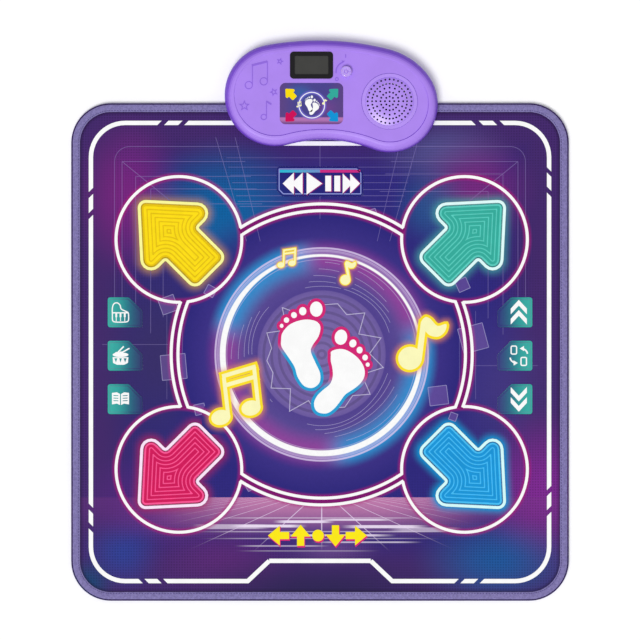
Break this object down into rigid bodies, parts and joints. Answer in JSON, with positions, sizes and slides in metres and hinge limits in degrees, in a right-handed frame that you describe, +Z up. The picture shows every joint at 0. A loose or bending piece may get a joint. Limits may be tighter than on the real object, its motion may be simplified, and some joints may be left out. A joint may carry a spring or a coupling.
{
  "type": "dance rhythm machine",
  "caption": "Square padded electronic dance mat with a bound edge, ribbed arrow pads and flush function pads, and a bean-shaped control box with a display, grille and knob at the rear.",
  "frame": {"origin": "on the floor under the middle of the whole part, mat and control box together", "axes": "+X to the right as a player faces the control box, +Y from the player towards the control box, +Z up"},
  "size_m": [0.8, 0.8998, 0.0416],
  "materials": {
    "dark_pvc": "matte",
    "foam": "matte",
    "film": "satin",
    "spacer": "matte",
    "printed_sheet": "satin",
    "binding_tape": "matte",
    "yellow_print": "satin",
    "green_print": "satin",
    "red_print": "satin",
    "blue_print": "satin",
    "teal_print": "satin",
    "carbon": "matte",
    "purple_plastic": "satin",
    "purple_plastic_lower": "satin",
    "clear_lilac_plastic": "gloss",
    "black_plastic": "satin",
    "smoked_window": "gloss",
    "circuit_board": "satin",
    "black_parts": "matte",
    "white_nylon": "matte",
    "printed_label": "gloss",
    "speaker_steel": "satin",
    "cone_paper": "matte",
    "steel": "satin",
    "cell_wrap": "satin",
    "lead_red": "matte",
    "tail_film": "satin"
  },
  "bodies": {
    "mat_and_box": {"base_sheet": "dark_pvc", "foam_core": "foam", "lower_membrane": "film", "spacer_foam": "spacer", "upper_membrane": "film", "top_sheet": "printed_sheet", "edge_binding": "binding_tape", "bottom_housing": "purple_plastic_lower", "top_housing": "purple_plastic", "speaker_grille": "purple_plastic", "speaker_frame": "speaker_steel", "speaker_cone": "cone_paper", "display_bezel": "black_plastic", "display_window": "smoked_window", "display_module": "circuit_board", "label_plate": "printed_label", "rotary_switch": "black_parts", "main_board": "circuit_board", "board_components": "black_parts", "tail_connector": "white_nylon", "membrane_tail": "tail_film", "batteries": "cell_wrap", "battery_contacts": "steel", "battery_springs": "steel", "battery_leads": "lead_red", "speaker_leads": "lead_red", "housing_screws": "steel", "board_screws": "steel", "mat_clamp_plate": "steel", "clamp_screws": "steel"},
    "arrow_yellow": {"arrow_pad_yellow": "yellow_print", "arrow_patch_yellow": "carbon"},
    "arrow_green": {"arrow_pad_green": "green_print", "arrow_patch_green": "carbon"},
    "arrow_red": {"arrow_pad_red": "red_print", "arrow_patch_red": "carbon"},
    "arrow_blue": {"arrow_pad_blue": "blue_print", "arrow_patch_blue": "carbon"},
    "start_key": {"start_pad": "printed_sheet", "start_patch": "carbon"},
    "piano_key": {"piano_pad": "teal_print", "piano_patch": "carbon"},
    "drum_key": {"drum_pad": "teal_print", "drum_patch": "carbon"},
    "book_key": {"book_pad": "teal_print", "book_patch": "carbon"},
    "up_key": {"up_pad": "teal_print", "up_patch": "carbon"},
    "swap_key": {"swap_pad": "teal_print", "swap_patch": "carbon"},
    "down_key": {"down_pad": "teal_print", "down_patch": "carbon"},
    "knob": {"power_knob": "clear_lilac_plastic", "switch_shaft": "steel"},
    "battery_door": {"battery_door": "purple_plastic_lower", "battery_door_screw": "steel"}
  },
  "joints": [
    {"name": "arrow_yellow_press", "type": "slide", "parent": "mat_and_box", "child": "arrow_yellow", "axis": [0, 0, -1], "range_m": [0, 0.0014], "stiffness_N_per_m": 4000},
    {"name": "arrow_green_press", "type": "slide", "parent": "mat_and_box", "child": "arrow_green", "axis": [0, 0, -1], "range_m": [0, 0.0014], "stiffness_N_per_m": 4000},
    {"name": "arrow_red_press", "type": "slide", "parent": "mat_and_box", "child": "arrow_red", "axis": [0, 0, -1], "range_m": [0, 0.0014], "stiffness_N_per_m": 4000},
    {"name": "arrow_blue_press", "type": "slide", "parent": "mat_and_box", "child": "arrow_blue", "axis": [0, 0, -1], "range_m": [0, 0.0014], "stiffness_N_per_m": 4000},
    {"name": "start_key_press", "type": "slide", "parent": "mat_and_box", "child": "start_key", "axis": [0, 0, -1], "range_m": [0, 0.0014], "stiffness_N_per_m": 4000},
    {"name": "piano_key_press", "type": "slide", "parent": "mat_and_box", "child": "piano_key", "axis": [0, 0, -1], "range_m": [0, 0.0014], "stiffness_N_per_m": 4000},
    {"name": "drum_key_press", "type": "slide", "parent": "mat_and_box", "child": "drum_key", "axis": [0, 0, -1], "range_m": [0, 0.0014], "stiffness_N_per_m": 4000},
    {"name": "book_key_press", "type": "slide", "parent": "mat_and_box", "child": "book_key", "axis": [0, 0, -1], "range_m": [0, 0.0014], "stiffness_N_per_m": 4000},
    {"name": "up_key_press", "type": "slide", "parent": "mat_and_box", "child": "up_key", "axis": [0, 0, -1], "range_m": [0, 0.0014], "stiffness_N_per_m": 4000},
    {"name": "swap_key_press", "type": "slide", "parent": "mat_and_box", "child": "swap_key", "axis": [0, 0, -1], "range_m": [0, 0.0014], "stiffness_N_per_m": 4000},
    {"name": "down_key_press", "type": "slide", "parent": "mat_and_box", "child": "down_key", "axis": [0, 0, -1], "range_m": [0, 0.0014], "stiffness_N_per_m": 4000},
    {"name": "knob_turn", "type": "hinge", "parent": "mat_and_box", "child": "knob", "pos_m": [0.0418, 0.39846, 0.0332], "axis": [0, 0, -1], "range_deg": [0, 120]},
    {"name": "battery_door_hinge", "type": "hinge", "parent": "mat_and_box", "child": "battery_door", "pos_m": [-0.0825, 0.36006, 0], "axis": [-1, 0, 0], "range_deg": [0, 80]}
  ]
}
